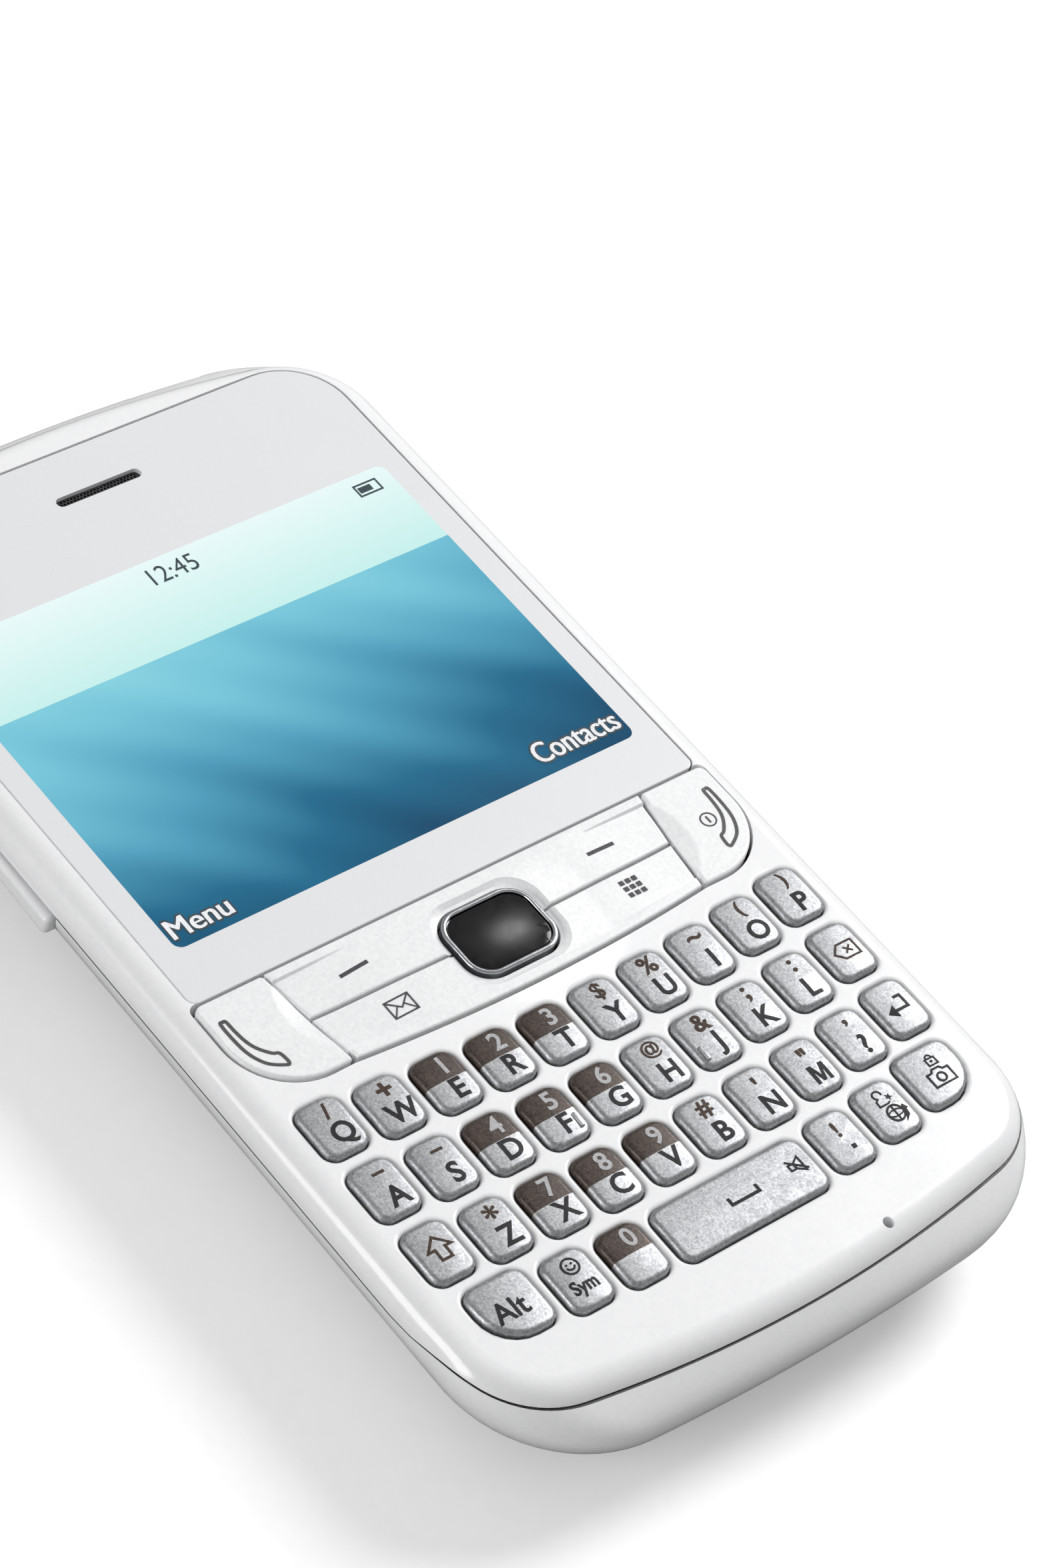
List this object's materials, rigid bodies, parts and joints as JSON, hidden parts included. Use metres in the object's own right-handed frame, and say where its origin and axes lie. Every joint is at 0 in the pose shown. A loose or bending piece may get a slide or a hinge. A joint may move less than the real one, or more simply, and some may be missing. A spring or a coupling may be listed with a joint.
{
  "type": "messaging phone",
  "caption": "Bar-shaped mobile phone with a wide display, a function-key cluster with a navigation pad, and a full letter keyboard.",
  "frame": {"origin": "middle of the flat back that the phone lies on", "axes": "+X to the phone's right seen from the front, +Y towards the earpiece, +Z out of the face"},
  "size_m": [0.0601, 0.1126, 0.0121],
  "materials": {
    "white_shell": "glossy moulded white plastic",
    "function_key": "white plastic with a fine leather-like grain",
    "silver_key": "silver metallic lacquer with a fine sparkle",
    "lens": "hard-coated window with a printed light border",
    "display": "lit display glass in a metal frame",
    "bright_ring": "bright plated plastic",
    "black_glass": "glossy black",
    "membrane": "dull rubber",
    "dome_film": "film with metal snap domes",
    "circuit_board": "green solder resist",
    "battery_wrap": "printed film wrap, left plain",
    "black_plastic": "fine matt black",
    "socket_metal": "bare sheet metal",
    "screw_steel": "plated steel"
  },
  "bodies": {
    "housing": {"front_housing": "white_shell", "rear_housing": "white_shell", "battery_cover": "white_shell", "display_lens": "lens", "lcd_module": "display", "keypad_membrane": "membrane", "dome_sheet": "dome_film", "main_board": "circuit_board", "battery": "battery_wrap", "camera_module": "black_plastic", "loudspeaker": "black_plastic", "earpiece": "black_plastic", "microphone": "socket_metal", "headset_jack": "black_plastic", "usb_socket": "socket_metal", "housing_screws": "screw_steel"},
    "call_key": {"call_key": "function_key"},
    "end_key": {"end_key": "function_key"},
    "nav": {"nav_ring": "bright_ring", "nav_pad": "black_glass"},
    "soft_key_bar": {"soft_key_bar": "function_key"},
    "shortcut_key_bar": {"shortcut_key_bar": "function_key"},
    "volume_key": {"volume_key": "white_shell"},
    "key_q": {"key_q": "silver_key"},
    "key_w": {"key_w": "silver_key"},
    "key_e": {"key_e": "silver_key"},
    "key_r": {"key_r": "silver_key"},
    "key_t": {"key_t": "silver_key"},
    "key_y": {"key_y": "silver_key"},
    "key_u": {"key_u": "silver_key"},
    "key_i": {"key_i": "silver_key"},
    "key_o": {"key_o": "silver_key"},
    "key_p": {"key_p": "silver_key"},
    "key_a": {"key_a": "silver_key"},
    "key_s": {"key_s": "silver_key"},
    "key_d": {"key_d": "silver_key"},
    "key_f": {"key_f": "silver_key"},
    "key_g": {"key_g": "silver_key"},
    "key_h": {"key_h": "silver_key"},
    "key_j": {"key_j": "silver_key"},
    "key_k": {"key_k": "silver_key"},
    "key_l": {"key_l": "silver_key"},
    "key_backspace": {"key_backspace": "silver_key"},
    "key_shift": {"key_shift": "silver_key"},
    "key_z": {"key_z": "silver_key"},
    "key_x": {"key_x": "silver_key"},
    "key_c": {"key_c": "silver_key"},
    "key_v": {"key_v": "silver_key"},
    "key_b": {"key_b": "silver_key"},
    "key_n": {"key_n": "silver_key"},
    "key_m": {"key_m": "silver_key"},
    "key_question": {"key_question": "silver_key"},
    "key_enter": {"key_enter": "silver_key"},
    "key_alt": {"key_alt": "silver_key"},
    "key_sym": {"key_sym": "silver_key"},
    "key_zero": {"key_zero": "silver_key"},
    "key_space": {"key_space": "silver_key"},
    "key_period": {"key_period": "silver_key"},
    "key_web": {"key_web": "silver_key"},
    "key_camera": {"key_camera": "silver_key"}
  },
  "joints": [
    {"name": "call_key_press", "type": "slide", "parent": "housing", "child": "call_key", "axis": [0, 0, -1], "range_m": [0, 0.00025], "stiffness_N_per_m": 500},
    {"name": "end_key_press", "type": "slide", "parent": "housing", "child": "end_key", "axis": [0, 0, -1], "range_m": [0, 0.00025], "stiffness_N_per_m": 500},
    {"name": "nav_press", "type": "slide", "parent": "housing", "child": "nav", "axis": [0, 0, -1], "range_m": [0, 0.0002], "stiffness_N_per_m": 500},
    {"name": "soft_key_bar_rock", "type": "hinge", "parent": "housing", "child": "soft_key_bar", "pos_m": [0, -0.00955, 0.0095], "axis": [0, 1, 0], "range_deg": [-0.6, 0.6], "stiffness_Nm_per_rad": 2},
    {"name": "shortcut_key_bar_rock", "type": "hinge", "parent": "housing", "child": "shortcut_key_bar", "pos_m": [0, -0.0153, 0.0095], "axis": [0, 1, 0], "range_deg": [-0.6, 0.6], "stiffness_Nm_per_rad": 2},
    {"name": "volume_key_rock", "type": "hinge", "parent": "housing", "child": "volume_key", "pos_m": [-0.0281, 0.01819, 0.00735], "axis": [0, 0, 1], "range_deg": [-1, 1], "stiffness_Nm_per_rad": 1},
    {"name": "key_q_press", "type": "slide", "parent": "housing", "child": "key_q", "axis": [0, 0, -1], "range_m": [0, 0.00025], "stiffness_N_per_m": 500},
    {"name": "key_w_press", "type": "slide", "parent": "housing", "child": "key_w", "axis": [0, 0, -1], "range_m": [0, 0.00025], "stiffness_N_per_m": 500},
    {"name": "key_e_press", "type": "slide", "parent": "housing", "child": "key_e", "axis": [0, 0, -1], "range_m": [0, 0.00025], "stiffness_N_per_m": 500},
    {"name": "key_r_press", "type": "slide", "parent": "housing", "child": "key_r", "axis": [0, 0, -1], "range_m": [0, 0.00025], "stiffness_N_per_m": 500},
    {"name": "key_t_press", "type": "slide", "parent": "housing", "child": "key_t", "axis": [0, 0, -1], "range_m": [0, 0.00025], "stiffness_N_per_m": 500},
    {"name": "key_y_press", "type": "slide", "parent": "housing", "child": "key_y", "axis": [0, 0, -1], "range_m": [0, 0.00025], "stiffness_N_per_m": 500},
    {"name": "key_u_press", "type": "slide", "parent": "housing", "child": "key_u", "axis": [0, 0, -1], "range_m": [0, 0.00025], "stiffness_N_per_m": 500},
    {"name": "key_i_press", "type": "slide", "parent": "housing", "child": "key_i", "axis": [0, 0, -1], "range_m": [0, 0.00025], "stiffness_N_per_m": 500},
    {"name": "key_o_press", "type": "slide", "parent": "housing", "child": "key_o", "axis": [0, 0, -1], "range_m": [0, 0.00025], "stiffness_N_per_m": 500},
    {"name": "key_p_press", "type": "slide", "parent": "housing", "child": "key_p", "axis": [0, 0, -1], "range_m": [0, 0.00025], "stiffness_N_per_m": 500},
    {"name": "key_a_press", "type": "slide", "parent": "housing", "child": "key_a", "axis": [0, 0, -1], "range_m": [0, 0.00025], "stiffness_N_per_m": 500},
    {"name": "key_s_press", "type": "slide", "parent": "housing", "child": "key_s", "axis": [0, 0, -1], "range_m": [0, 0.00025], "stiffness_N_per_m": 500},
    {"name": "key_d_press", "type": "slide", "parent": "housing", "child": "key_d", "axis": [0, 0, -1], "range_m": [0, 0.00025], "stiffness_N_per_m": 500},
    {"name": "key_f_press", "type": "slide", "parent": "housing", "child": "key_f", "axis": [0, 0, -1], "range_m": [0, 0.00025], "stiffness_N_per_m": 500},
    {"name": "key_g_press", "type": "slide", "parent": "housing", "child": "key_g", "axis": [0, 0, -1], "range_m": [0, 0.00025], "stiffness_N_per_m": 500},
    {"name": "key_h_press", "type": "slide", "parent": "housing", "child": "key_h", "axis": [0, 0, -1], "range_m": [0, 0.00025], "stiffness_N_per_m": 500},
    {"name": "key_j_press", "type": "slide", "parent": "housing", "child": "key_j", "axis": [0, 0, -1], "range_m": [0, 0.00025], "stiffness_N_per_m": 500},
    {"name": "key_k_press", "type": "slide", "parent": "housing", "child": "key_k", "axis": [0, 0, -1], "range_m": [0, 0.00025], "stiffness_N_per_m": 500},
    {"name": "key_l_press", "type": "slide", "parent": "housing", "child": "key_l", "axis": [0, 0, -1], "range_m": [0, 0.00025], "stiffness_N_per_m": 500},
    {"name": "key_backspace_press", "type": "slide", "parent": "housing", "child": "key_backspace", "axis": [0, 0, -1], "range_m": [0, 0.00025], "stiffness_N_per_m": 500},
    {"name": "key_shift_press", "type": "slide", "parent": "housing", "child": "key_shift", "axis": [0, 0, -1], "range_m": [0, 0.00025], "stiffness_N_per_m": 500},
    {"name": "key_z_press", "type": "slide", "parent": "housing", "child": "key_z", "axis": [0, 0, -1], "range_m": [0, 0.00025], "stiffness_N_per_m": 500},
    {"name": "key_x_press", "type": "slide", "parent": "housing", "child": "key_x", "axis": [0, 0, -1], "range_m": [0, 0.00025], "stiffness_N_per_m": 500},
    {"name": "key_c_press", "type": "slide", "parent": "housing", "child": "key_c", "axis": [0, 0, -1], "range_m": [0, 0.00025], "stiffness_N_per_m": 500},
    {"name": "key_v_press", "type": "slide", "parent": "housing", "child": "key_v", "axis": [0, 0, -1], "range_m": [0, 0.00025], "stiffness_N_per_m": 500},
    {"name": "key_b_press", "type": "slide", "parent": "housing", "child": "key_b", "axis": [0, 0, -1], "range_m": [0, 0.00025], "stiffness_N_per_m": 500},
    {"name": "key_n_press", "type": "slide", "parent": "housing", "child": "key_n", "axis": [0, 0, -1], "range_m": [0, 0.00025], "stiffness_N_per_m": 500},
    {"name": "key_m_press", "type": "slide", "parent": "housing", "child": "key_m", "axis": [0, 0, -1], "range_m": [0, 0.00025], "stiffness_N_per_m": 500},
    {"name": "key_question_press", "type": "slide", "parent": "housing", "child": "key_question", "axis": [0, 0, -1], "range_m": [0, 0.00025], "stiffness_N_per_m": 500},
    {"name": "key_enter_press", "type": "slide", "parent": "housing", "child": "key_enter", "axis": [0, 0, -1], "range_m": [0, 0.00025], "stiffness_N_per_m": 500},
    {"name": "key_alt_press", "type": "slide", "parent": "housing", "child": "key_alt", "axis": [0, 0, -1], "range_m": [0, 0.00025], "stiffness_N_per_m": 500},
    {"name": "key_sym_press", "type": "slide", "parent": "housing", "child": "key_sym", "axis": [0, 0, -1], "range_m": [0, 0.00025], "stiffness_N_per_m": 500},
    {"name": "key_zero_press", "type": "slide", "parent": "housing", "child": "key_zero", "axis": [0, 0, -1], "range_m": [0, 0.00025], "stiffness_N_per_m": 500},
    {"name": "key_space_press", "type": "slide", "parent": "housing", "child": "key_space", "axis": [0, 0, -1], "range_m": [0, 0.00025], "stiffness_N_per_m": 500},
    {"name": "key_period_press", "type": "slide", "parent": "housing", "child": "key_period", "axis": [0, 0, -1], "range_m": [0, 0.00025], "stiffness_N_per_m": 500},
    {"name": "key_web_press", "type": "slide", "parent": "housing", "child": "key_web", "axis": [0, 0, -1], "range_m": [0, 0.00025], "stiffness_N_per_m": 500},
    {"name": "key_camera_press", "type": "slide", "parent": "housing", "child": "key_camera", "axis": [0, 0, -1], "range_m": [0, 0.00025], "stiffness_N_per_m": 500}
  ]
}
